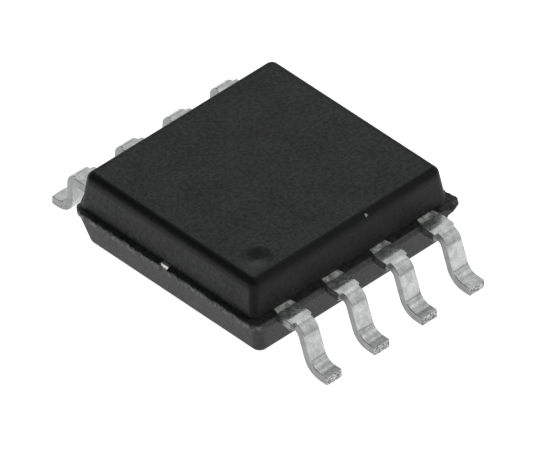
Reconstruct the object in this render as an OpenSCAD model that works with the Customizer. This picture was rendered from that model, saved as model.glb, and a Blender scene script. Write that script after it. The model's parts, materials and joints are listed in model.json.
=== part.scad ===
// Eight-lead small-outline chip with gull-wing leads, in millimetres.
// +X runs along the lead rows, +Y from the row of leads 1 to 4 to the row of leads 5 to 8, +Z up.
// The origin lies on the seating plane, under the middle of the body.

/* [Moulded body] */
// Length of the lower half along the lead rows, at the parting plane
body_length = 5.35; // [5.1:0.01:6]
// Width of the lower half across the lead rows, at the parting plane
body_width = 5.33; // [4.9:0.01:5.7]
// Height of the top face above the seating plane
body_top = 1.91; // [1.75:0.01:2.2]
// Height of the parting plane above the seating plane
parting_height = 1.09; // [1:0.01:1.2]
// Gap between the seating plane and the underside of the body
stand_off = 0.09; // [0.03:0.01:0.2]
// How far the upper half stands back from the lower half at each end
end_ledge = 0.07; // [0.02:0.01:0.12]
// How far the upper half stands back from the lower half on each lead side
side_ledge = 0.17; // [0.05:0.01:0.25]
// Draft of the walls above the parting plane, in degrees
upper_draft = 7; // [3:0.5:15]
// Draft of the walls below the parting plane, in degrees
lower_draft = 13; // [5:0.5:18]
// Radius between the walls and the top face
top_edge_radius = 0.17; // [0.05:0.01:0.25]
// Radius between the walls and the underside
bottom_edge_radius = 0.2; // [0.05:0.01:0.25]
// Plan radius of the top face's own corners
top_corner_radius = 0.01; // [0.01:0.01:0.3]
// Plan radius of the underside's own corners
bottom_corner_radius = 0.02; // [0.01:0.01:0.4]

/* [Marks of the mould] */
// Diameter of the dish beside lead 1
dish_diameter = 0.7; // [0.4:0.01:0.9]
// Depth of the dish
dish_depth = 0.06; // [0.02:0.01:0.12]
// Distance from the end wall to the middle of the dish, at the top face
dish_from_end = 0.6; // [0.55:0.01:1.2]
// Distance from the lead-side wall to the middle of the dish, at the top face
dish_from_side = 0.54; // [0.5:0.01:1.2]
// Diameter of the two ejector-pin marks in the underside
ejector_diameter = 0.9; // [0.5:0.05:1.4]
// Depth of the ejector-pin marks
ejector_depth = 0.03; // [0.01:0.01:0.06]
// Distance of each ejector-pin mark from the middle of the underside
ejector_offset = 1.35; // [0.8:0.05:1.6]
// How far the flash reaches out of the end walls at most
flash_reach = 0.12; // [0.03:0.01:0.15]
// Distance from the flash's furthest point to the corner of the body
flash_return = 0.3; // [0.1:0.01:0.4]

/* [Leads] */
// Distance between neighbouring leads
lead_pitch = 1.27; // [1.1:0.01:1.27]
// Distance over the lead tips, across the body
lead_span = 7.8; // [7.62:0.01:8.26]
// Width of a lead
lead_width = 0.41; // [0.36:0.01:0.5]
// Thickness of the lead frame
frame_thickness = 0.19; // [0.15:0.01:0.25]
// Length of the sloping part of a lead, between its crease and its shoulder bend
fall_length = 0.18; // [0.1:0.01:0.25]
// Fall of that part, in degrees
fall_angle = 9.5; // [4:0.5:12]
// Inside radius of the bend at the shoulder
shoulder_radius = 0.03; // [0.02:0.01:0.12]
// Inside radius of the bend at the heel
heel_radius = 0.26; // [0.15:0.01:0.35]
// Lean of the leg from the upright, in degrees
leg_lean = 18; // [8:0.5:22]
// Length of the flat sole at the tip of the foot
sole_length = 0.2; // [0.1:0.01:0.3]
// Length, along the lead, of the stubs that the cut dambar leaves
dambar_width = 0.3; // [0.15:0.01:0.32]
// Length over which a lead widens to the dambar stubs
dambar_taper = 0.3; // [0.1:0.01:0.4]
// How far the dambar stubs stand out of a lead, on average
dambar_stub = 0.07; // [0.04:0.005:0.1]
// How far off the lead's centre line the dambar was cut
dambar_shift = 0.02; // [0:0.005:0.03]

/* [Inner lead frame] */
// Width of the head at a lead's inner end
head_width = 0.72; // [0.6:0.01:0.8]
// Length of the head at a lead's inner end
head_length = 0.4; // [0.3:0.01:0.5]
// Place of each head along the row, as a share of its lead's own place
head_gather = 0.86; // [0.8:0.01:1]
// Gap between the die paddle and the heads of the leads
paddle_gap = 0.2; // [0.15:0.01:0.3]
// Length of the die paddle
paddle_length = 3.1; // [2.6:0.05:3.4]
// Width of the die paddle
paddle_width = 2.3; // [1.9:0.05:2.4]
// How far the die paddle lies below the leads
paddle_downset = 0.15; // [0.05:0.01:0.25]
// Run of the slope in each tie bar
tie_slope_run = 0.2; // [0.1:0.01:0.3]
// Width of the tie bars
tie_width = 0.22; // [0.15:0.01:0.4]
// How far the cut ends of the tie bars stand out of the end walls
tie_proud = 0.03; // [0.01:0.005:0.06]

/* [Die and bond wires] */
// Length of the die along the lead rows
die_length = 2.1; // [1.4:0.05:2.4]
// Width of the die
die_width = 1.5; // [1:0.05:1.8]
// Thickness of the die
die_thickness = 0.28; // [0.2:0.01:0.32]
// Thickness of the adhesive under the die
attach_thickness = 0.03; // [0.02:0.005:0.05]
// How far the adhesive shows round the die
attach_margin = 0.05; // [0.02:0.01:0.1]
// Distance from the die's edge to the middle of its bond pads
pad_inset = 0.12; // [0.08:0.01:0.2]
// Distance between neighbouring bond pads
pad_pitch = 0.5; // [0.3:0.01:0.6]
// Diameter of the bond wires
wire_diameter = 0.03; // [0.02:0.005:0.05]
// Diameter of the ball that bonds a wire to its pad
ball_diameter = 0.08; // [0.07:0.005:0.12]
// Height of that ball
ball_height = 0.03; // [0.02:0.005:0.05]
// Height of a wire's loop above the die
loop_height = 0.16; // [0.1:0.01:0.25]
// Length of wire pressed flat on to a lead
stitch_length = 0.08; // [0.05:0.01:0.12]

/* [Hidden] */
leads_per_side = 4;
lead_count = 2 * leads_per_side;
corner_steps = 6;
edge_steps = 5;
bend_steps = 10;
wire_steps = 14;
wire_sides = 6;
round_facets = 48;
cut_margin = 1;

// The upper half at the parting plane, and the top face's size if its edges were sharp
upper_half_length = body_length / 2 - end_ledge;
upper_half_width = body_width / 2 - side_ledge;
wall_run = (body_top - parting_height) * tan(upper_draft);
top_half_length = upper_half_length - wall_run;
top_half_width = upper_half_width - wall_run;

// Levels of the lead frame and of what lies on its paddle
frame_bottom = parting_height - frame_thickness;
paddle_top = parting_height - paddle_downset;
attach_top = paddle_top + attach_thickness;
die_top = attach_top + die_thickness;

// The formed lead in side view: both bends' centres and outside radii, y measured outwards
shoulder_outer = shoulder_radius + frame_thickness;
heel_outer = heel_radius + frame_thickness;
bends = shoulder_radius + heel_outer;
shoulder_z = parting_height - fall_length * sin(fall_angle) - shoulder_outer * cos(fall_angle);
heel_y = lead_span / 2 - sole_length;
leg_length = (shoulder_z + bends * sin(leg_lean) - heel_outer) / cos(leg_lean);
shoulder_y = heel_y - bends * cos(leg_lean) - leg_length * sin(leg_lean);

// Where the shoulder bend, the sloping part and the dambar stubs start
bend_y = shoulder_y + shoulder_outer * sin(fall_angle);
crease_y = bend_y - fall_length * cos(fall_angle);
stub_y = bend_y - dambar_width;

// Inner ends of the leads, y measured outwards
head_y = paddle_width / 2 + paddle_gap;
neck_y = head_y + head_length;
lead_start_y = neck_y + head_length / 2;

function reversed(list) = [for (i = [len(list) - 1:-1:0]) list[i]];

function arc(centre, radius, from, to, steps) =
    [for (i = [0:steps]) let (a = from + (to - from) * i / steps) centre + radius * [cos(a), sin(a)]];

// Place along the row of the lead that a pin number names, as seen with its own row in front
function row_x(pin) = ((pin - 1) % leads_per_side - (leads_per_side - 1) / 2) * lead_pitch;

// A rounded rectangle at height z, as a ring of points
function ring(half_x, half_y, radius, z) = [
    for (corner = [[1, 1, 0], [-1, 1, 90], [-1, -1, 180], [1, -1, 270]])
        let (centre = [corner[0] * (half_x - radius), corner[1] * (half_y - radius)])
            for (p = arc(centre, radius, corner[2], corner[2] + 90, corner_steps)) [p[0], p[1], z]
];

// Rings of one mould half, from its edge at the parting plane to its flat face. The wall leans in
// by the draft and runs into the face through a round edge; the corners keep one centre there.
function mould_half(half_x, half_y, z_face, draft, edge_radius, corner_radius) =
    let (
        height = abs(z_face - parting_height),
        up = sign(z_face - parting_height),
        round_height = height - edge_radius,
        face_inset = round_height * tan(draft) + edge_radius / cos(draft),
        wall_radius = corner_radius + edge_radius * cos(draft)
    )
    concat(
        [ring(half_x, half_y, wall_radius, parting_height)],
        [
            for (i = [0:edge_steps])
                let (
                    a = draft + (90 - draft) * i / edge_steps,
                    inset = face_inset - edge_radius * cos(a),
                    radius = corner_radius + edge_radius * cos(a),
                    z = parting_height + up * (round_height + edge_radius * sin(a))
                )
                ring(half_x - inset, half_y - inset, radius, z)
        ]
    );

// A solid through rings of equal length, closed at its first and last ring
module loft(rings) {
    n = len(rings[0]);
    last = len(rings) - 1;
    polyhedron(
        points = [for (r = rings) each r],
        faces = concat(
            [[for (i = [0:n - 1]) i]],
            [for (k = [0:last - 1]) for (i = [0:n - 1])
                [k * n + i, (k + 1) * n + i, (k + 1) * n + (i + 1) % n, k * n + (i + 1) % n]],
            [[for (i = [n - 1:-1:0]) last * n + i]]
        )
    );
}

module compound_blank() {
    loft(concat(
        reversed(mould_half(body_length / 2, body_width / 2, stand_off,
            lower_draft, bottom_edge_radius, bottom_corner_radius)),
        mould_half(upper_half_length, upper_half_width, body_top,
            upper_draft, top_edge_radius, top_corner_radius)
    ));
}

// Flash left beside the lead frame, from a tie bar to one corner of the body. It is as thick as
// the frame, is broken off unevenly, and reaches furthest near the corner.
module flash() {
    end = body_length / 2;
    side = -body_width / 2;
    start = -tie_width / 2;
    translate([0, 0, frame_bottom])
        linear_extrude(frame_thickness)
            polygon([
                [end - flash_return, start],
                [end + 0.5 * flash_reach, start],
                [end + 0.6 * flash_reach, 0.3 * side],
                [end + 0.4 * flash_reach, 0.5 * side],
                [end + 0.6 * flash_reach, 0.7 * side],
                [end + flash_reach, side + flash_return],
                [end + 0.6 * flash_reach, side + 0.3 * flash_return],
                [end - 0.3 * flash_return, side],
                [end - flash_return, side]
            ]);
}

module dish() {
    sphere_radius = (pow(dish_diameter / 2, 2) + pow(dish_depth, 2)) / (2 * dish_depth);
    translate([
        dish_from_end - top_half_length,
        dish_from_side - top_half_width,
        body_top - dish_depth + sphere_radius
    ])
        sphere(r = sphere_radius, $fn = 2 * round_facets);
}

module ejector_marks() {
    for (side = [-1, 1])
        translate([side * ejector_offset, 0, stand_off - cut_margin])
            cylinder(d = ejector_diameter, h = cut_margin + ejector_depth, $fn = round_facets);
}

module moulded_body() {
    color([0.1, 0.1, 0.105])
        difference() {
            union() {
                compound_blank();
                for (turn = [0, 180])
                    rotate([0, 0, turn]) {
                        flash();
                        mirror([0, 1, 0])
                            flash();
                    }
            }
            dish();
            ejector_marks();
            for (pin = [1:lead_count]) {
                lead(pin);
                bond_wire(pin);
            }
            die_paddle();
            die_attach();
            silicon_die();
        }
}

// Puts what is drawn for the front row at its pin: the back row is the front row turned round
module at_row(pin) {
    rotate([0, 0, pin > leads_per_side ? 180 : 0])
        children();
}

// The head of a lead in plan, inside the body, drawn in to the lead's own width
module lead_head(x) {
    head_x = x * head_gather;
    half = lead_width / 2;
    half_head = head_width / 2;
    translate([0, 0, frame_bottom])
        linear_extrude(frame_thickness)
            polygon([
                [head_x - half_head, -head_y],
                [head_x + half_head, -head_y],
                [head_x + half_head, -neck_y],
                [x + half, -lead_start_y],
                [x - half, -lead_start_y],
                [head_x - half_head, -neck_y]
            ]);
}

// A strip of the formed lead between two places along the row: flat, fall from the crease,
// shoulder bend, leaning leg, heel bend and flat sole, in side view
module lead_strip(from, to) {
    shoulder = [-shoulder_y, shoulder_z];
    heel = [-heel_y, heel_outer];
    crease_under = crease_y - frame_thickness * tan(fall_angle / 2);
    upper = concat(
        [[-lead_start_y, parting_height], [-crease_y, parting_height]],
        arc(shoulder, shoulder_outer, 90 + fall_angle, 180 - leg_lean, bend_steps),
        arc(heel, heel_radius, 360 - leg_lean, 270, bend_steps),
        [[-lead_span / 2, frame_thickness]]
    );
    lower = concat(
        [[-lead_start_y, frame_bottom], [-crease_under, frame_bottom]],
        arc(shoulder, shoulder_radius, 90 + fall_angle, 180 - leg_lean, bend_steps),
        arc(heel, heel_outer, 360 - leg_lean, 270, bend_steps),
        [[-lead_span / 2, 0]]
    );
    translate([from, 0, 0])
        rotate([90, 0, 90])
            linear_extrude(to - from)
                polygon(concat(upper, reversed(lower)));
}

// The stubs that the cut dambar leaves, in plan, with the taper that leads up to them
module dambar_stubs(x, left, right) {
    half = lead_width / 2;
    linear_extrude(parting_height + cut_margin)
        polygon([
            [x - half, dambar_taper - stub_y],
            [x + half, dambar_taper - stub_y],
            [right, -stub_y],
            [right, -bend_y],
            [left, -bend_y],
            [left, -stub_y]
        ]);
}

module lead(pin) {
    x = row_x(pin);
    half = lead_width / 2;
    left = x - half - dambar_stub - dambar_shift;
    right = x + half + dambar_stub - dambar_shift;
    color([0.78, 0.78, 0.76])
        at_row(pin) {
            lead_head(x);
            lead_strip(x - half, x + half);
            intersection() {
                lead_strip(left, right);
                dambar_stubs(x, left, right);
            }
        }
}

// The paddle and its two tie bars, each stepped down to the paddle in side view
module die_paddle() {
    half = paddle_length / 2;
    tie_end = body_length / 2 + tie_proud;
    step_out = half + tie_slope_run;
    plate_bottom = paddle_top - frame_thickness;
    color([0.68, 0.68, 0.65]) {
        translate([-half, -paddle_width / 2, plate_bottom])
            cube([paddle_length, paddle_width, frame_thickness]);
        for (turn = [0, 180])
            rotate([0, 0, turn])
                translate([0, tie_width / 2, 0])
                    rotate([90, 0, 0])
                        linear_extrude(tie_width)
                            polygon([
                                [half, plate_bottom],
                                [step_out, frame_bottom],
                                [tie_end, frame_bottom],
                                [tie_end, parting_height],
                                [step_out, parting_height],
                                [half, paddle_top]
                            ]);
    }
}

module die_attach() {
    length = die_length + 2 * attach_margin;
    width = die_width + 2 * attach_margin;
    color([0.75, 0.75, 0.7])
        translate([-length / 2, -width / 2, paddle_top])
            cube([length, width, attach_thickness]);
}

module silicon_die() {
    color([0.35, 0.37, 0.42])
        translate([-die_length / 2, -die_width / 2, attach_top])
            cube([die_length, die_width, die_thickness]);
}

// Middle line of a wire in its own upright plane: [distance from the pad, height]
function wire_line(reach) =
    let (
        low = parting_height + wire_diameter / 2 * cos(180 / wire_sides),
        start = [0, die_top + ball_height / 2],
        rise = [0, die_top + 2 * loop_height],
        fall = [0.65 * reach, low],
        end = [reach, low]
    )
    concat(
        [
            for (i = [0:wire_steps])
                let (t = i / wire_steps, s = 1 - t)
                    s * s * s * start + 3 * s * s * t * rise + 3 * s * t * t * fall + t * t * t * end
        ],
        [end + [stitch_length, 0]]
    );

// Direction of the wire at a point of its middle line
function wire_direction(line, i) =
    let (d = line[min(i + 1, len(line) - 1)] - line[max(i - 1, 0)])
        i == 0 ? [0, 1] : i >= len(line) - 2 ? [1, 0] : d / norm(d);

module bond_wire(pin) {
    x = row_x(pin);
    pad = [x / lead_pitch * pad_pitch, -die_width / 2 + pad_inset];
    stitch = [x * head_gather, -head_y - head_length / 2];
    run = stitch - pad;
    line = wire_line(norm(run) - stitch_length / 2);
    color([0.9, 0.72, 0.3])
        at_row(pin)
            translate([pad[0], pad[1], 0])
                rotate([0, 0, atan2(run[1], run[0])]) {
                    translate([0, 0, die_top])
                        cylinder(d = ball_diameter, h = ball_height, $fn = round_facets);
                    loft([
                        for (i = [0:len(line) - 1])
                            let (d = wire_direction(line, i))
                            [
                                for (k = [0:wire_sides - 1])
                                    let (a = 360 * k / wire_sides)
                                    [
                                        line[i][0] - d[1] * wire_diameter / 2 * sin(a),
                                        wire_diameter / 2 * cos(a),
                                        line[i][1] + d[0] * wire_diameter / 2 * sin(a)
                                    ]
                            ]
                    ]);
                }
}

moulded_body();
die_paddle();
die_attach();
silicon_die();
for (pin = [1:lead_count]) {
    lead(pin);
    bond_wire(pin);
}
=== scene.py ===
"""Dresses the eight-lead small-outline chip: moulded body, leads, and what the body encloses."""
import json
import math

import bmesh
import bpy
from mathutils import Matrix, Vector, noise

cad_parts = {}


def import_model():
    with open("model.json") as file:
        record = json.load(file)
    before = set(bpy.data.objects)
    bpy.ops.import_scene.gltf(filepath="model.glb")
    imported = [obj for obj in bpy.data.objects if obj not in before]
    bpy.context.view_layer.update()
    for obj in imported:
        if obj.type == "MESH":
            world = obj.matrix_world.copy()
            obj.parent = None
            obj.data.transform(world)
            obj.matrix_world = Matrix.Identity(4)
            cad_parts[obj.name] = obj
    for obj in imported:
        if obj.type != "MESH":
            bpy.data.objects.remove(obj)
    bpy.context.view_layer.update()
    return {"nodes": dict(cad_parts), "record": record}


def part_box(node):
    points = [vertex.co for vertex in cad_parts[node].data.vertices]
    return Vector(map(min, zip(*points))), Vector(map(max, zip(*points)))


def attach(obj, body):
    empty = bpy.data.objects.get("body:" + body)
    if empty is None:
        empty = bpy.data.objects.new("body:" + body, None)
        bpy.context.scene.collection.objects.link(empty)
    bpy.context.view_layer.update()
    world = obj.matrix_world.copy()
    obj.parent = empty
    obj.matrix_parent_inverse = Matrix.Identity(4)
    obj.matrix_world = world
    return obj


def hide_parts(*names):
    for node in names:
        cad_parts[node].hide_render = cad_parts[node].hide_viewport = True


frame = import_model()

MM = 0.001
PINS = range(1, 9)
# signs of X and Y at the corners, in turn from the back right one
CORNERS = ((1, 1), (-1, 1), (-1, -1), (1, -1))


# ---------------------------------------------------------------- sizes, in millimetres

def box_mm(node):
    low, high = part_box(node)
    return [v / MM for v in low], [v / MM for v in high]


BODY_LOW, BODY_HIGH = box_mm("moulded_body")
LEAD_LOW, LEAD_HIGH = box_mm("lead_1")
BODY_TOP = BODY_HIGH[2]
UNDERSIDE = BODY_LOW[2]
PARTING = LEAD_HIGH[2]
# thickness of the lead frame
STRIP = 0.19

# the two mould halves
FLASH_REACH = 0.12
HALF_LENGTH = BODY_HIGH[0] - FLASH_REACH
HALF_WIDTH = BODY_HIGH[1]
END_LEDGE = 0.07
SIDE_LEDGE = 0.17
LEDGE_SINK = 0.004
UPPER_DRAFT = math.radians(7)
LOWER_DRAFT = math.radians(13)
TOP_EDGE = 0.17
BOTTOM_EDGE = 0.2
TOP_CORNER = 0.01
BOTTOM_CORNER = 0.02
WALL_RUN = (BODY_TOP - PARTING) * math.tan(UPPER_DRAFT)
TOP_HALF_LENGTH = HALF_LENGTH - END_LEDGE - WALL_RUN
TOP_HALF_WIDTH = HALF_WIDTH - SIDE_LEDGE - WALL_RUN
# rings: the heights of a wall's own, as shares of the wall, and the steps round an edge, round a
# corner and along a side
WALL_LEVELS = (0, 0.2, 0.4, 0.6, 0.8, 0.86, 0.93)
EDGE_STEPS = 12
CORNER_STEPS = 12
SIDE_STEPS = 150
# least angle, in degrees, at which a mesh keeps a sharp edge
BODY_SHARP = 32
LEAD_SHARP = 9
# the moulding sits a little off the middle of the lead frame
MOULD_SHIFT = Vector((-0.035, 0.03, 0.0))

# painted shade on the compound, from 0 for none to 1 for near black; below 0 it is a painted highlight that
# lightens it
UPPER_PAINTED_SHADE = {"corner": 1.0, "along the leads": 0.7, "at the ends": 0.3}
LOWER_PAINTED_SHADE = {"corner": 0.45, "along the leads": 0.2, "at the ends": 0.0}
LEDGE_PAINTED_SHADE = 0.3
EJECTOR_PAINTED_SHADE = 0.6
# how far a corner's painted shade spreads round it, and the outward Y from which a wall faces the leads
CORNER_SPREAD = 3.2
FACES_LEADS = 0.7
# the upper edge's rings, counted back from the flat top: these get less painted shade than those between
# them
EDGE_RINGS = 14
LESS_PAINTED_SHADE = {0: 0.1, -1: 0.7, -13: 0.9}

# marks pressed into the flat faces
DISH_AT = (0.6 - TOP_HALF_LENGTH, 0.54 - TOP_HALF_WIDTH)
DISH_RADIUS = 0.35
# the direction in which the dish's painted shade is darkest
DISH_TURN = math.radians(55)
DISH_DEPTH = 0.06
EJECTOR_RADIUS = 0.45
EJECTOR_DEPTH = 0.03
EJECTOR_OFFSET = 1.35
EJECTOR_STEP = 0.06
MARK_SIDES = 72
MARK_RINGS = 16

# flash of the end walls: its mean reach, and the height, size and seed of each unevenness in it
FLASH_MEAN = 0.06
FLASH_LEAST = 0.005
FLASH_WAVES = ((0.03, 0.3, 3.0), (0.035, 0.07, 5.0))
SIDE_FLASH = (0.006, 0.05, 5.0)
# a nub of it is left at the front right corner
NUB_REACH = 0.11
NUB_WAVE = (0.03, 0.05, 9.0)
NUB_FROM_CORNER = 0.2
NUB_HALF_WIDTH = 0.16
# the share of the painted shade that the nub's torn flash gets
NUB_SHADE_SHARE = 0.2
# rings of the flash from the lower wall up to the ledge: depth below the parting plane, share of the flash's
# reach, and painted shade
FLASH_RINGS = (
    (STRIP + 0.01, 0.0, 0.0), (STRIP - 0.015, 0.55, 0.0), (0.14, 0.75, 0.0), (0.09, 0.8, 0.0),
    (0.045, 1.0, 0.2), (0.015, 0.95, 0.8), (LEDGE_SINK, 0.7, LEDGE_PAINTED_SHADE),
)
# the opening round the cut end of a tie bar, and how far that end stands out of the near end wall
TIE_BAR = 0.24
TIE_BAR_PROUD = 0.035
# the ledge is broken down at two opposite corners
CHIP_AT = (HALF_LENGTH - 0.05, -HALF_WIDTH + 0.02)
CHIP_DEPTH = 0.1
CHIP_RADIUS = 0.34
CHIP_RUN = 0.2

# the rough web under the flash of the end walls: the heights over which it fades in from below and
# out at the top, and its run in from the end walls
WEB_BOTTOM = (0.98, 1.06)
WEB_TOP = (1.02, 1.06)
WEB_RUN = 0.09
# small bare nicks in the compound: place and radius
NICKS = (
    ((0.47, -2.34, 1.85), 0.035), ((-2.52, 1.1, 1.76), 0.012),
    ((-2.52, 1.8, 1.8), 0.012), ((-2.13, -2.38, 1.57), 0.014),
)

# the leads
LEAD_WIDTH = 0.41
HEEL_INSIDE = 0.26
# each row as its own press formed it: lean of the leg, sole, inside radius of the shoulder, and the
# length and the angle of the fall from the crease to the shoulder
FRONT_ROW = {
    "lean": math.radians(18), "sole": 0.2, "shoulder": 0.15, "fall": 0.107, "slope": math.radians(9.5),
}
BACK_ROW = {
    "lean": math.radians(3), "sole": 0.18, "shoulder": 0.08, "fall": 0.1, "slope": math.radians(3),
}
# the stubs of the dam bar: length, run of the lead's taper before them and of their end, reach to each side
DAMBAR = 0.3
TAPER = 0.3
STUB_END = 0.015
STUB_LEFT = 0.09
STUB_RIGHT = 0.05
LEAD_TIP = -LEAD_LOW[1]
TIP_RUN = 0.012
TIP_NARROWED = 0.01
# the part inside the body, which leans towards the die by a share of the lead's own X
HEAD_Y = -LEAD_HIGH[1]
HEAD_WIDTH = 0.72
HEAD_LENGTH = 0.4
HEAD_LEAN = -0.14
# what each lead's seed adds to the last one's
SEED_STEP = 7.3
# distances from the middle of the part at which the plating changes: the matt skin next to the body
# ends, the rubbed root ends, and the leg begins
SKIN_END = (2.62, 2.64)
ROOT_END = (2.85, 2.98)
LEG_START = (2.9, 3.05)

# the stage, in metres
FLOOR_HALF = 0.6
FLOOR_GAP = 0.00002
PANEL_AWAY = 0.25


# ---------------------------------------------------------------- shader groups

def new_group(name, inputs, outputs):
    group = bpy.data.node_groups.new(name, "ShaderNodeTree")
    for label, kind, value in inputs:
        socket = group.interface.new_socket(label, in_out="INPUT", socket_type=kind)
        if value is not None:
            socket.default_value = value
    for label, kind in outputs:
        group.interface.new_socket(label, in_out="OUTPUT", socket_type=kind)
    enter = group.nodes.new("NodeGroupInput")
    leave = group.nodes.new("NodeGroupOutput")
    return group, enter.outputs, leave.inputs


class Nodes:
    """Short ways to add and join nodes in one tree."""

    def __init__(self, tree):
        self.tree = tree

    def add(self, kind, links=(), **settings):
        node = self.tree.nodes.new(kind)
        for name, value in settings.items():
            setattr(node, name, value)
        for socket, value in dict(links).items():
            self.put(node.inputs[socket], value)
        return node

    def put(self, socket, value):
        if isinstance(value, bpy.types.NodeSocket):
            self.tree.links.new(value, socket)
        else:
            socket.default_value = value

    def math(self, operation, a, b=0.0, c=0.0, clamp=False):
        node = self.add("ShaderNodeMath", {0: a, 1: b, 2: c}, operation=operation)
        node.use_clamp = clamp
        return node.outputs[0]

    def ramp(self, value, low, high, out_low=0.0, out_high=1.0):
        node = self.add("ShaderNodeMapRange", {0: value, 1: low, 2: high, 3: out_low, 4: out_high})
        node.interpolation_type = "SMOOTHSTEP"
        return node.outputs[0]

    def mix(self, factor, a, b):
        node = self.add("ShaderNodeMix", data_type="RGBA")
        for socket, value in ((node.inputs[0], factor), (node.inputs[6], a), (node.inputs[7], b)):
            self.put(socket, value)
        return node.outputs[2]

    def noise(self, vector, scale, roughness):
        links = {"Vector": vector, "Scale": scale, "Detail": 3.0, "Roughness": roughness}
        return self.add("ShaderNodeTexNoise", links).outputs[0]

    def object_mm(self):
        """Object coordinates in millimetres."""
        place = self.add("ShaderNodeTexCoord").outputs["Object"]
        return self.add("ShaderNodeVectorMath", {0: place, 3: 1 / MM}, operation="SCALE").outputs[0]

    def apart(self, vector):
        return self.add("ShaderNodeSeparateXYZ", {0: vector}).outputs


def grain_group():
    """Fine and coarse unevenness of a surface, each from 0 to 1."""
    group, enter, leave = new_group(
        "grain",
        [("Place", "NodeSocketVector", None), ("Fine size", "NodeSocketFloat", 0.03),
         ("Coarse size", "NodeSocketFloat", 0.4)],
        [("Fine", "NodeSocketFloat"), ("Coarse", "NodeSocketFloat")],
    )
    n = Nodes(group)
    fine = n.noise(enter["Place"], n.math("DIVIDE", 1.0, enter["Fine size"]), 0.6)
    coarse = n.noise(enter["Place"], n.math("DIVIDE", 1.0, enter["Coarse size"]), 0.55)
    n.put(leave["Fine"], fine)
    n.put(leave["Coarse"], coarse)
    return group


def specks_group():
    """A mask of small scattered grains, more of them where Share is higher."""
    group, enter, leave = new_group(
        "specks",
        [("Place", "NodeSocketVector", None), ("Spacing", "NodeSocketFloat", 0.12),
         ("Share", "NodeSocketFloat", 0.12)],
        [("Mask", "NodeSocketFloat")],
    )
    n = Nodes(group)
    cells = n.add("ShaderNodeTexVoronoi", {"Vector": enter["Place"]})
    n.put(cells.inputs["Scale"], n.math("DIVIDE", 1.0, enter["Spacing"]))
    near = n.ramp(cells.outputs["Distance"], 0.1, 0.26, 1.0, 0.0)
    chosen = n.apart(cells.outputs["Color"])[0]
    n.put(leave["Mask"], n.math("MULTIPLY", near, n.math("LESS_THAN", chosen, enter["Share"])))
    return group


GRAIN = grain_group()
SPECKS = specks_group()


def new_material(name):
    material = bpy.data.materials.new(name)
    material.use_nodes = True
    tree = material.node_tree
    tree.nodes.clear()
    n = Nodes(tree)
    surface = n.add("ShaderNodeBsdfPrincipled")
    n.add("ShaderNodeOutputMaterial", {"Surface": surface.outputs[0]})
    return material, n, surface


def place_group(n, group, **inputs):
    node = n.add("ShaderNodeGroup", node_tree=group)
    for label, value in inputs.items():
        n.put(node.inputs[label.replace("_", " ")], value)
    return node.outputs


def grey(level):
    return (level, level, level, 1)


def bump(n, surface, height, distance, strength):
    """Height raises the surface by up to a distance in millimetres."""
    links = {"Height": height, "Distance": distance * MM, "Strength": strength}
    n.put(surface.inputs["Normal"], n.add("ShaderNodeBump", links).outputs[0])


def moulding_compound():
    material, n, surface = new_material("moulding_compound")
    place = n.object_mm()
    grain = place_group(n, GRAIN, Place=place, Fine_size=0.08, Coarse_size=0.6)
    specks = place_group(n, SPECKS, Place=place, Spacing=0.09, Share=0.1)
    fine_tone = n.math("MULTIPLY", n.ramp(grain["Fine"], 0.33, 0.67), 0.75)
    tone = n.math("MULTIPLY_ADD", n.ramp(grain["Coarse"], 0.3, 0.7), 0.25, fine_tone)
    matt = n.mix(tone, (0.014, 0.014, 0.0145, 1), (0.056, 0.0555, 0.0542, 1))
    matt = n.mix(n.math("MULTIPLY", specks["Mask"], 0.5), matt, (0.12, 0.12, 0.122, 1))
    # a rough, paler web hangs under the flash of the end walls
    x, _, z = n.apart(place)
    height = n.math("MULTIPLY_ADD", grain["Coarse"], 0.2, n.math("MULTIPLY_ADD", grain["Fine"], 0.1, z))
    under = n.math("MULTIPLY", n.ramp(height, *WEB_BOTTOM), n.ramp(z, *WEB_TOP, 1.0, 0.0))
    at_end = n.math("GREATER_THAN", n.math("ABSOLUTE", x), HALF_LENGTH - WEB_RUN)
    rag = n.ramp(n.noise(place, 11.0, 0.75), 0.47, 0.6)
    web = n.math("MULTIPLY", n.math("MULTIPLY", under, at_end), n.math("MULTIPLY", rag, 0.75))
    matt = n.mix(web, matt, (0.15, 0.15, 0.147, 1))
    # painted shade: above 0 the attribute darkens the compound towards near black on its rounded edges,
    # corners, walls, parting ledge and marks; below 0 it is a painted highlight
    painted_shade = n.add("ShaderNodeAttribute", attribute_name="painted_shade").outputs["Fac"]
    pale = n.math("MULTIPLY", painted_shade, -1.0, clamp=True)
    matt = n.mix(pale, matt, grey(0.1))
    colour = n.mix(n.math("MULTIPLY", painted_shade, 1.0, clamp=True), matt, (0.003, 0.003, 0.0033, 1))
    for nick, size in NICKS:
        away = n.add("ShaderNodeVectorMath", {0: place, 1: nick}, operation="DISTANCE").outputs["Value"]
        worn = n.ramp(n.math("MULTIPLY_ADD", grain["Fine"], 0.12, away), size + 0.04, size + 0.06, 1.0, 0.0)
        colour = n.mix(worn, colour, grey(0.3))
    n.put(surface.inputs["Base Color"], colour)
    n.put(surface.inputs["Roughness"], n.math("MULTIPLY_ADD", grain["Fine"], 0.2, 0.4))
    surface.inputs["Specular IOR Level"].default_value = 0.15
    bump(n, surface, grain["Fine"], 0.012, 0.8)
    return material


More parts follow.
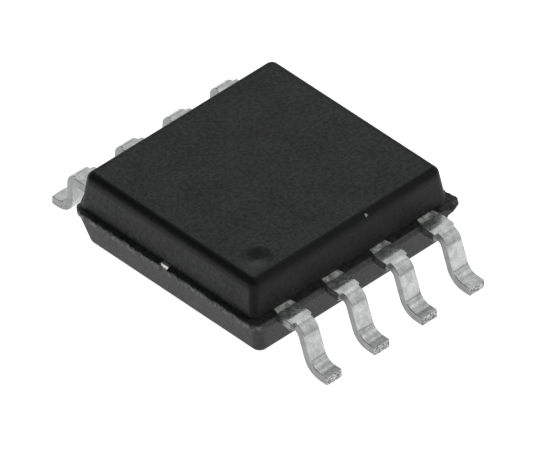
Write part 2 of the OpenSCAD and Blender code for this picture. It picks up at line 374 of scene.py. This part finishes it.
def tin_plate():
    material, n, surface = new_material("tin_plate")
    place = n.object_mm()
    grain = place_group(n, GRAIN, Place=place, Fine_size=0.035, Coarse_size=0.16)
    _, y, z = n.apart(place)
    out = n.math("MULTIPLY_ADD", grain["Fine"], 0.03, n.math("ABSOLUTE", y))
    tone = n.math("MULTIPLY_ADD", grain["Coarse"], 0.65, n.math("MULTIPLY", grain["Fine"], 0.35))
    colour = n.mix(n.ramp(tone, 0.3, 0.7), (0.33, 0.33, 0.328, 1), (0.53, 0.53, 0.525, 1))
    # the punched sides and the cut tips are duller than the rolled faces, and their darker colour is also
    # painted shade
    cut = n.add("ShaderNodeAttribute", attribute_name="cut").outputs["Fac"]
    tip = n.ramp(out, LEAD_TIP + 0.006, LEAD_TIP + 0.01)
    colour = n.mix(n.math("MULTIPLY", cut, 0.6), colour, grey(0.13))
    smeared = n.mix(n.ramp(grain["Fine"], 0.4, 0.58), grey(0.08), (0.42, 0.42, 0.415, 1))
    colour = n.mix(tip, colour, smeared)
    # painted shadow under the dam-bar's stubs, along their torn lower edge
    torn = n.add("ShaderNodeAttribute", attribute_name="torn").outputs["Fac"]
    ragged = n.math("MULTIPLY_ADD", grain["Fine"], 0.05, z)
    low = n.ramp(ragged, PARTING - STRIP + 0.035, PARTING - STRIP + 0.06, 1.0, 0.0)
    stub_shadow = n.math("MULTIPLY", n.math("MULTIPLY", n.ramp(torn, 0.5, 0.9), low), cut)
    colour = n.mix(stub_shadow, colour, (0.03, 0.03, 0.028, 1))
    # a matt skin stays on the plate close to the body
    skin = n.ramp(out, *SKIN_END, 1.0, 0.0)
    skin_colour = n.mix(n.ramp(grain["Coarse"], 0.35, 0.65), (0.25, 0.25, 0.23, 1), (0.85, 0.85, 0.8, 1))
    n.put(surface.inputs["Base Color"], n.mix(skin, colour, skin_colour))
    n.put(surface.inputs["Metallic"], n.math("MULTIPLY_ADD", skin, -0.5, 0.85))
    rough = n.math("MULTIPLY_ADD", grain["Fine"], 0.15, n.ramp(out, *LEG_START, 0.1, 0.15))
    # rubbed blotches between the body and the bend
    root = n.ramp(out, *ROOT_END, 1.0, 0.0)
    blotch = n.math("MULTIPLY", root, n.ramp(n.noise(place, 9.0, 0.6), 0.42, 0.6))
    rough = n.math("MULTIPLY_ADD", blotch, 0.13, n.math("MULTIPLY_ADD", skin, 0.3, rough))
    n.put(surface.inputs["Roughness"], rough)
    bump(n, surface, grain["Fine"], 0.003, 0.35)
    return material


def frame_alloy():
    material, n, surface = new_material("frame_alloy")
    place = n.object_mm()
    grain = place_group(n, GRAIN, Place=place, Fine_size=0.03, Coarse_size=0.3)
    # the cut ends: bright where the punch went in, dark and rough where the metal tore off
    height = n.math("MULTIPLY_ADD", grain["Fine"], 0.06, n.apart(place)[2])
    torn = n.ramp(height, PARTING - 0.06, PARTING - 0.03, 1.0, 0.0)
    colour = n.mix(grain["Fine"], (0.5, 0.5, 0.48, 1), (0.72, 0.72, 0.7, 1))
    n.put(surface.inputs["Base Color"], n.mix(torn, colour, (0.05, 0.05, 0.035, 1)))
    n.put(surface.inputs["Metallic"], n.math("MULTIPLY_ADD", torn, -0.6, 0.9))
    n.put(surface.inputs["Roughness"], n.math("MULTIPLY_ADD", grain["Fine"], 0.25, 0.35))
    bump(n, surface, grain["Fine"], 0.004, 0.6)
    return material


def plain_metal(name, dark, light, roughness, spread):
    material, n, surface = new_material(name)
    grain = place_group(n, GRAIN, Place=n.object_mm(), Fine_size=0.05, Coarse_size=0.6)
    n.put(surface.inputs["Base Color"], n.mix(grain["Coarse"], (*dark, 1), (*light, 1)))
    surface.inputs["Metallic"].default_value = 1.0
    n.put(surface.inputs["Roughness"], n.math("MULTIPLY_ADD", grain["Fine"], spread, roughness))
    bump(n, surface, grain["Fine"], 0.002, 0.4)
    return material


def die_adhesive():
    material, n, surface = new_material("die_adhesive")
    grain = place_group(n, GRAIN, Place=n.object_mm(), Fine_size=0.02, Coarse_size=0.3)
    n.put(surface.inputs["Base Color"], n.mix(grain["Fine"], (0.45, 0.45, 0.42, 1), (0.75, 0.75, 0.71, 1)))
    n.put(surface.inputs["Roughness"], n.math("MULTIPLY_ADD", grain["Coarse"], 0.2, 0.5))
    bump(n, surface, grain["Fine"], 0.004, 0.6)
    return material


MATERIALS = {
    "moulding_compound": moulding_compound(),
    "tin_plate": tin_plate(),
    "frame_alloy": frame_alloy(),
    "die_adhesive": die_adhesive(),
    "silicon": plain_metal("silicon", (0.16, 0.17, 0.2), (0.26, 0.27, 0.31), 0.12, 0.1),
    "gold_wire": plain_metal("gold_wire", (0.83, 0.6, 0.2), (0.93, 0.72, 0.32), 0.2, 0.1),
}


# ---------------------------------------------------------------- meshes

def new_object(name, data):
    made = bpy.data.objects.new(name, data)
    bpy.context.scene.collection.objects.link(made)
    return made


def add_piece(name, mesh, material):
    made = new_object(name, mesh)
    mesh.materials.clear()
    mesh.materials.append(MATERIALS[material])
    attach(made, "root")
    return made


def finish_mesh(bm, name, sharp_angle):
    bmesh.ops.recalc_face_normals(bm, faces=bm.faces)
    mesh = bpy.data.meshes.new(name)
    bm.to_mesh(mesh)
    bm.free()
    mesh.shade_smooth()
    mesh.set_sharp_from_angle(angle=math.radians(sharp_angle))
    return mesh


def outline(half_x, half_y, radius):
    """A rounded rectangle as a ring of points, each with its outward direction."""
    ring = []
    centres = [Vector((x * (half_x - radius), y * (half_y - radius))) for x, y in CORNERS]
    for quarter, centre in enumerate(centres):
        for i in range(CORNER_STEPS + 1):
            a = math.radians(90 * (quarter + i / CORNER_STEPS))
            out = Vector((math.cos(a), math.sin(a)))
            ring.append((centre + radius * out, out))
        start, end = centre + radius * out, centres[(quarter + 1) % 4] + radius * out
        for i in range(1, SIDE_STEPS):
            ring.append((start.lerp(end, i / SIDE_STEPS), out))
    return ring


def wave_at(place, height, size, seed):
    """A seeded unevenness of the outline, up or down by the height at most."""
    return height * noise.noise(Vector((place[0] / size, place[1] / size, seed)))


def flash_at(place, out):
    """How far the flash stands out of the lower half at a place on its outline, in millimetres."""
    if abs(out.x) < 0.3:
        return max(0.0, wave_at(place, *SIDE_FLASH))
    if abs(place[1] + MOULD_SHIFT.y) < TIE_BAR / 2:
        return -TIE_BAR_PROUD if place[0] < 0 else 0.0
    reach = FLASH_MEAN
    for wave in FLASH_WAVES:
        reach += wave_at(place, *wave)
    if place[0] > 0:
        off_middle = abs(place[1] + HALF_WIDTH - NUB_FROM_CORNER)
        reach += (NUB_REACH + wave_at(place, *NUB_WAVE)) * max(0.0, 1 - off_middle / NUB_HALF_WIDTH)
    # it stays inside the part's own box, which the moulding's shift brings nearer at one end
    most = FLASH_REACH - MOULD_SHIFT.x * math.copysign(1.0, out.x) - 0.002
    return max(FLASH_LEAST, min(reach * abs(out.x), most))


def chip_at(place):
    """How far the ledge is broken down at the two corners where the frame was cut free."""
    nearest = min(math.dist((turn * place[0], turn * place[1]), CHIP_AT) for turn in (1, -1))
    return CHIP_DEPTH * max(0.0, min(1.0, (CHIP_RADIUS - nearest) / CHIP_RUN))


def half_rings(half_x, half_y, face, draft, edge, corner):
    """Rings of one mould half from the parting plane to its flat face."""
    up = 1 if face > PARTING else -1
    straight = abs(face - PARTING) - edge
    inset = straight * math.tan(draft) + edge / math.cos(draft)
    wall_radius = corner + edge * math.cos(draft)
    rings = []
    for level in WALL_LEVELS:
        rise = level * (straight + edge * math.sin(draft))
        shrink = rise * math.tan(draft)
        rings.append((half_x - shrink, half_y - shrink, wall_radius, PARTING + up * rise))
    for i in range(EDGE_STEPS + 1):
        a = draft + (math.pi / 2 - draft) * i / EDGE_STEPS
        shrink = inset - edge * math.cos(a)
        rings.append((half_x - shrink, half_y - shrink, corner + edge * math.cos(a),
                      PARTING + up * (straight + edge * math.sin(a))))
    return rings


def ring_of(bm, level, painted_shade=0.0):
    """One ring of the body, with at least the painted shade told. Walls and corners have a painted shade of
    their own.
    """
    half_x, half_y, radius, z = level
    layer = bm.verts.layers.float["painted_shade"]
    own = UPPER_PAINTED_SHADE if z > PARTING else LOWER_PAINTED_SHADE
    ring = []
    for p, out in outline(half_x, half_y, radius):
        vert = bm.verts.new(Vector((*p, z)) + MOULD_SHIFT)
        corner = min(1.0, CORNER_SPREAD * abs(out.x * out.y)) * own["corner"]
        wall = own["along the leads" if abs(out.y) > FACES_LEADS else "at the ends"]
        on_top = z > BODY_TOP - 0.001
        vert[layer] = max(painted_shade, corner, 0.0 if on_top else wall)
        ring.append(vert)
    return ring


def flash_ring(bm, level, depth, share, painted_shade):
    """One ring of the lower half's rim at a depth below the parting plane, with a share of the flash."""
    half_x, half_y, radius, z = level
    layer = bm.verts.layers.float["painted_shade"]
    shrink = depth * math.tan(LOWER_DRAFT)
    ring = []
    for p, out in outline(half_x - shrink, half_y - shrink, radius):
        q = p + out * (share * flash_at(p, out) + (shrink if share else 0.0))
        if p.x < 0:
            q -= p.normalized() * chip_at(p) * share
        vert = bm.verts.new(Vector((*q, z - depth - chip_at(p) * (1 - depth / STRIP))) + MOULD_SHIFT)
        # the nub's torn flash gets only a share of the painted shade
        torn = p.x > 0 and abs(p.y + HALF_WIDTH - NUB_FROM_CORNER) < NUB_FROM_CORNER
        vert[layer] = painted_shade * (NUB_SHADE_SHARE if torn else 1.0)
        ring.append(vert)
    return ring


def join_loops(bm, loops):
    """Fills the bands between rings of one count, each of which follows the last."""
    for ring, following in zip(loops, loops[1:]):
        count = len(ring)
        for i in range(count):
            j = (i + 1) % count
            bm.faces.new((ring[i], ring[j], following[j], following[i]))


def moulded_body():
    bm = bmesh.new()
    bm.verts.layers.float.new("painted_shade")
    lower = half_rings(HALF_LENGTH, HALF_WIDTH, UNDERSIDE, LOWER_DRAFT, BOTTOM_EDGE, BOTTOM_CORNER)
    upper = half_rings(HALF_LENGTH - END_LEDGE, HALF_WIDTH - SIDE_LEDGE, BODY_TOP,
                       UPPER_DRAFT, TOP_EDGE, TOP_CORNER)
    rings = [ring_of(bm, level) for level in reversed(lower[2:])]
    for depth, share, painted_shade in FLASH_RINGS:
        rings.append(flash_ring(bm, lower[0], depth, share, painted_shade))
    foot = upper[0]
    # the ledge's ring and the rings round the upper edge carry painted shade
    rings.append(ring_of(bm, (*foot[:3], foot[3] - LEDGE_SINK), LEDGE_PAINTED_SHADE))
    last = len(upper) - 1
    for index, level in enumerate(upper[1:], start=1):
        in_edge = index > last - EDGE_RINGS
        rings.append(ring_of(bm, level, LESS_PAINTED_SHADE.get(index - last, 1.0) if in_edge else 0.0))
    join_loops(bm, rings)
    ejectors = [((side * EJECTOR_OFFSET, 0.0), EJECTOR_RADIUS, ejector, ejector_painted_shade) for side in (-1, 1)]
    cap(bm, rings[0], ejectors, UNDERSIDE, -1)
    cap(bm, rings[-1], [(DISH_AT, DISH_RADIUS, dish, dish_painted_shade)], BODY_TOP, 1)
    mesh = finish_mesh(bm, "moulded_body_shape", BODY_SHARP)
    mesh.transform(Matrix.Scale(MM, 4))
    return mesh


def dish(share):
    """Depth of the mark beside lead 1 at a share of its radius."""
    return DISH_DEPTH * (1 - share ** 2) ** 1.3


def dish_painted_shade(share, angle):
    """Painted shade on the dish's slope towards the middle of the top, and a painted highlight on its slope
    towards the corner.
    """
    return (1 - share ** 3) * (0.3 + 0.8 * math.cos(angle - DISH_TURN))


def ejector(share):
    """Depth of an ejector's mark at a share of its radius."""
    return EJECTOR_DEPTH * min(1.0, (1 - share) / EJECTOR_STEP)


# painted shade in the ejector mark's recess
def ejector_painted_shade(share, angle):
    return EJECTOR_PAINTED_SHADE * min(1.0, (1 - share) / EJECTOR_STEP)


def cap(bm, rim, marks, z, facing):
    """Closes a flat face round its pressed marks, which go into the body."""
    edges = [bm.edges.get((rim[i], rim[(i + 1) % len(rim)])) for i in range(len(rim))]
    shares = [1 - i / MARK_RINGS for i in range(MARK_RINGS)]
    angles = [2 * math.pi * k / MARK_SIDES for k in range(MARK_SIDES)]
    layer = bm.verts.layers.float["painted_shade"]
    for (cx, cy), radius, depth, painted_shade in marks:
        loops = []
        for share in shares:
            loop = []
            for a in angles:
                x, y = cx + share * radius * math.cos(a), cy + share * radius * math.sin(a)
                vert = bm.verts.new(Vector((x, y, z - facing * depth(share))) + MOULD_SHIFT)
                vert[layer] = painted_shade(share, a)
                loop.append(vert)
            loops.append(loop)
        join_loops(bm, loops)
        middle = bm.verts.new(Vector((cx, cy, z - facing * depth(0.0))) + MOULD_SHIFT)
        middle[layer] = loops[-1][0][layer]
        for i in range(MARK_SIDES):
            bm.faces.new((loops[-1][i], loops[-1][(i + 1) % MARK_SIDES], middle))
        edges += [bm.edges.get((loops[0][i], loops[0][(i + 1) % MARK_SIDES])) for i in range(MARK_SIDES)]
    bmesh.ops.triangle_fill(bm, edges=edges, use_beauty=True, normal=(0, 0, facing))


# ---------------------------------------------------------------- leads

def lead_tree():
    """Sweeps the strip along its middle line, spreads it where the line says, and tears its cut faces."""
    tree = bpy.data.node_groups.new("lead_strip", "GeometryNodeTree")
    face = tree.interface
    face.new_socket("Geometry", in_out="INPUT", socket_type="NodeSocketGeometry")
    for label, kind, value in (
        ("Width", "NodeSocketFloat", LEAD_WIDTH), ("Thickness", "NodeSocketFloat", STRIP),
        ("Edge radius", "NodeSocketFloat", 0.02), ("Facets per bend", "NodeSocketInt", 5),
        ("Tear", "NodeSocketFloat", 0.008), ("Seed", "NodeSocketFloat", 0.0),
        ("Material", "NodeSocketMaterial", None),
    ):
        socket = face.new_socket(label, in_out="INPUT", socket_type=kind)
        if value is not None:
            socket.default_value = value
    face.new_socket("Geometry", in_out="OUTPUT", socket_type="NodeSocketGeometry")
    n = Nodes(tree)
    enter = n.add("NodeGroupInput").outputs

    def named(name):
        return n.add("GeometryNodeInputNamedAttribute", {0: name}, data_type="FLOAT").outputs[0]

    line = n.add("GeometryNodeMeshToCurve", {"Mesh": enter["Geometry"]}).outputs[0]
    bends = {"Curve": line, "Radius": named("bend"), "Count": enter["Facets per bend"]}
    bent = n.add("GeometryNodeFilletCurve", bends, mode="POLY").outputs[0]
    fine = n.add("GeometryNodeSubdivideCurve", {"Curve": bent, "Cuts": 3}).outputs[0]
    size = {"Width": enter["Width"], "Height": enter["Thickness"]}
    section = n.add("GeometryNodeCurvePrimitiveQuadrilateral", size).outputs[0]
    edges = {"Curve": section, "Radius": enter["Edge radius"], "Count": 3}
    section = n.add("GeometryNodeFilletCurve", edges, mode="POLY").outputs[0]
    across = n.math("ABSOLUTE", n.apart(n.add("GeometryNodeInputPosition").outputs[0])[0])
    on_side = n.math("GREATER_THAN", across, n.math("MULTIPLY_ADD", enter["Width"], 0.5, -0.002))
    cut = {0: section, "Name": "cut", "Value": on_side}
    section = n.add("GeometryNodeStoreNamedAttribute", cut, data_type="FLOAT", domain="POINT").outputs[0]
    sweep = {"Curve": fine, "Profile Curve": section, "Fill Caps": True}
    strip = n.add("GeometryNodeCurveToMesh", sweep).outputs[0]
    place = n.add("GeometryNodeInputPosition").outputs[0]
    x = n.apart(place)[0]
    seed = n.add("ShaderNodeCombineXYZ", {0: enter["Seed"]}).outputs[0]
    seeded = n.add("ShaderNodeVectorMath", {0: place, 1: seed}, operation="ADD").outputs[0]
    torn = n.math("MULTIPLY", n.math("SUBTRACT", n.noise(seeded, 14.0, 0.6), 0.5), enter["Tear"])
    left = n.math("MULTIPLY", n.math("LESS_THAN", x, 0.0), n.math("MULTIPLY", named("spread_left"), -1.0))
    right = n.math("MULTIPLY", n.math("GREATER_THAN", x, 0.0), named("spread_right"))
    side = n.math("MULTIPLY", n.math("MULTIPLY", torn, named("torn")), 2.0)
    shift = n.math("ADD", n.math("ADD", left, right), n.math("ADD", side, named("shift")))
    offset = n.add("ShaderNodeCombineXYZ", {0: shift, 2: n.math("MULTIPLY", torn, 0.3)}).outputs[0]
    moved = n.add("GeometryNodeSetPosition", {"Geometry": strip, "Offset": offset}).outputs[0]
    sized = n.add("GeometryNodeTransform", {"Geometry": moved, "Scale": (MM, MM, MM)}).outputs[0]
    done = n.add("GeometryNodeSetMaterial", {"Geometry": sized, "Material": enter["Material"]}).outputs[0]
    n.add("NodeGroupOutput", {0: done})
    return tree


def lead_line(head_shift, row):
    """Middle line of a lead from its head to its tip, as it would lie in the front row.

    Each point is (y, z, radius of the bend, spread to the left, spread to the right, shift, torn).
    """
    half = STRIP / 2
    shoulder_r, heel_r = row["shoulder"] + half, HEEL_INSIDE + half
    lean, slope = row["lean"], row["slope"]
    flat = PARTING - half
    # the shoulder's and the heel's corners lie at the ends of the leg's own middle line
    half_turn = (math.pi / 2 - lean - slope) / 2
    shoulder_z = flat - (row["fall"] + shoulder_r * math.tan(half_turn)) * math.sin(slope)
    heel = LEAD_TIP - row["sole"] - heel_r * math.tan((math.pi / 2 - lean) / 2)
    shoulder = heel - (shoulder_z - half) * math.tan(lean)
    crease = shoulder - (flat - shoulder_z) / math.tan(slope)
    bend_start = crease + row["fall"] * math.cos(slope)
    stub = bend_start - DAMBAR

    def sloped(y):
        return flat - max(0.0, y - crease) * math.tan(slope)

    neck = HEAD_Y + HEAD_LENGTH
    head = (HEAD_WIDTH - LEAD_WIDTH) / 2
    return [
        (HEAD_Y, flat, 0, head, head, head_shift, 0),
        (neck, flat, 0, head, head, head_shift, 0),
        (neck + HEAD_LENGTH / 2, flat, 0, 0, 0, 0, 0),
        (stub - TAPER, flat, 0, 0, 0, 0, 0.3),
        (stub, flat, 0, STUB_LEFT, STUB_RIGHT, 0, 1),
        (crease, flat, 0, STUB_LEFT, STUB_RIGHT, 0, 1),
        (bend_start - STUB_END, sloped(bend_start - STUB_END), 0, STUB_LEFT, STUB_RIGHT, 0, 1),
        (bend_start, sloped(bend_start), 0, 0, 0, 0, 0.3),
        (shoulder, shoulder_z, shoulder_r, 0, 0, 0, 0),
        (heel, half, heel_r, 0, 0, 0, 0),
        (LEAD_TIP - TIP_RUN, half, 0, 0, 0, 0, 0),
        (LEAD_TIP, half, 0, -TIP_NARROWED, -TIP_NARROWED, 0, 0),
    ]


def lead_shape(pin, x, tree):
    """Mesh of one lead in its place. Leads 5 to 8 are made in the front row and turned round."""
    front = pin <= 4
    turned = x if front else -x
    points = lead_line(HEAD_LEAN * turned, FRONT_ROW if front else BACK_ROW)
    mesh = bpy.data.meshes.new(f"lead_line_{pin}")
    mesh.from_pydata([(0, -y, z) for y, z, *_ in points], [(i, i + 1) for i in range(len(points) - 1)], [])
    for column, name in enumerate(("bend", "spread_left", "spread_right", "shift", "torn"), start=2):
        values = mesh.attributes.new(name, "FLOAT", "POINT")
        for i, point in enumerate(points):
            values.data[i].value = point[column]
    line = new_object(f"lead_line_{pin}", mesh)
    modifier = line.modifiers.new("strip", "NODES")
    modifier.node_group = tree
    keys = {item.name: item.identifier for item in tree.interface.items_tree if item.in_out == "INPUT"}
    modifier[keys["Seed"]] = SEED_STEP * pin
    modifier[keys["Material"]] = MATERIALS["tin_plate"]
    shape = bpy.data.meshes.new_from_object(line.evaluated_get(bpy.context.evaluated_depsgraph_get()))
    bpy.data.objects.remove(line)
    bm = bmesh.new()
    bm.from_mesh(shape)
    bmesh.ops.remove_doubles(bm, verts=bm.verts, dist=1e-8)
    bmesh.ops.transform(bm, matrix=Matrix.Translation((turned * MM, 0, 0)), verts=bm.verts)
    if not front:
        bmesh.ops.transform(bm, matrix=Matrix.Rotation(math.pi, 4, "Z"), verts=bm.verts)
    return finish_mesh(bm, f"lead_shape_{pin}", LEAD_SHARP)


# ---------------------------------------------------------------- the part

body = add_piece("body_compound", moulded_body(), "moulding_compound")
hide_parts("moulded_body")

strip_tree = lead_tree()
feet = {mount["name"]: mount["pos_m"] for mount in frame["record"]["mounts"]}
for pin in PINS:
    shape = lead_shape(pin, feet[f"foot_{pin}"][0] / MM, strip_tree)
    piece = add_piece(f"plated_lead_{pin}", shape, "tin_plate")
    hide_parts(f"lead_{pin}")

INNER = {"die_paddle": "frame_alloy", "die_attach": "die_adhesive", "silicon_die": "silicon"}
INNER.update({f"bond_wire_{pin}": "gold_wire" for pin in PINS})
for node, material in INNER.items():
    for own in frame["nodes"][node].material_slots:
        own.material = MATERIALS[material]


# ---------------------------------------------------------------- floor, light and camera

def floor():
    """A floor that glows on top and is clear from below, so that the underside can be looked at."""
    material, n, surface = new_material("pale_floor")
    below = n.add("ShaderNodeNewGeometry").outputs["Backfacing"]
    n.put(surface.inputs["Alpha"], n.math("SUBTRACT", 1.0, below))
    surface.inputs["Base Color"].default_value = grey(0.8)
    surface.inputs["Roughness"].default_value = 0.9
    surface.inputs["Emission Color"].default_value = grey(1)
    surface.inputs["Emission Strength"].default_value = 1.0
    mesh = bpy.data.meshes.new("floor")
    corners = [(x * FLOOR_HALF, y * FLOOR_HALF, 0) for x, y in ((-1, -1), (1, -1), (1, 1), (-1, 1))]
    mesh.from_pydata(corners, [], [(0, 1, 2, 3)])
    mesh.materials.append(material)
    made = new_object("floor", mesh)
    made.location.z = -FLOOR_GAP


def softbox(name, azimuth, elevation, size, power):
    """An area light that looks at the part. Azimuth 0 is behind the part, 90 to its right."""
    a, e = math.radians(azimuth), math.radians(elevation)
    away = Vector((math.sin(a) * math.cos(e), math.cos(a) * math.cos(e), math.sin(e)))
    light = bpy.data.lights.new(name, "AREA")
    light.shape = "RECTANGLE"
    light.size, light.size_y = size
    light.energy = power
    made = new_object(name, light)
    made.location = away * PANEL_AWAY
    made.rotation_euler = away.to_track_quat("Z", "Y").to_euler()


def camera():
    """A long lens, high in front and to the left. Its axes are unit vectors, its place is in millimetres."""
    back = -Vector((0.517055, 0.570498, -0.638111))
    right = Vector((0.727124, -0.686080, -0.024203))
    up = back.cross(right)
    place = Vector((-188.380, -207.938, 233.043)) * MM
    lens = bpy.data.cameras.new("camera")
    lens.sensor_width = 36
    lens.lens = 1250
    lens.clip_start, lens.clip_end = 0.01, 10
    made = new_object("camera", lens)
    turn = Matrix((right, up, back)).transposed().to_4x4()
    made.matrix_world = Matrix.Translation(place) @ turn
    bpy.context.scene.camera = made


def world():
    made = bpy.data.worlds.new("studio")
    made.use_nodes = True
    background = made.node_tree.nodes["Background"]
    background.inputs["Color"].default_value = (0.9, 0.95, 1.0, 1)
    background.inputs["Strength"].default_value = 0.25
    bpy.context.scene.world = made


floor()
world()
softbox("back_panel", azimuth=45, elevation=42, size=(0.19, 0.233), power=0.12)
softbox("right_panel", azimuth=105, elevation=45, size=(0.19, 0.233), power=0.09)
softbox("front_panel", azimuth=150, elevation=33, size=(0.21, 0.233), power=0.11)
camera()
bpy.context.scene.view_settings.view_transform = "Standard"
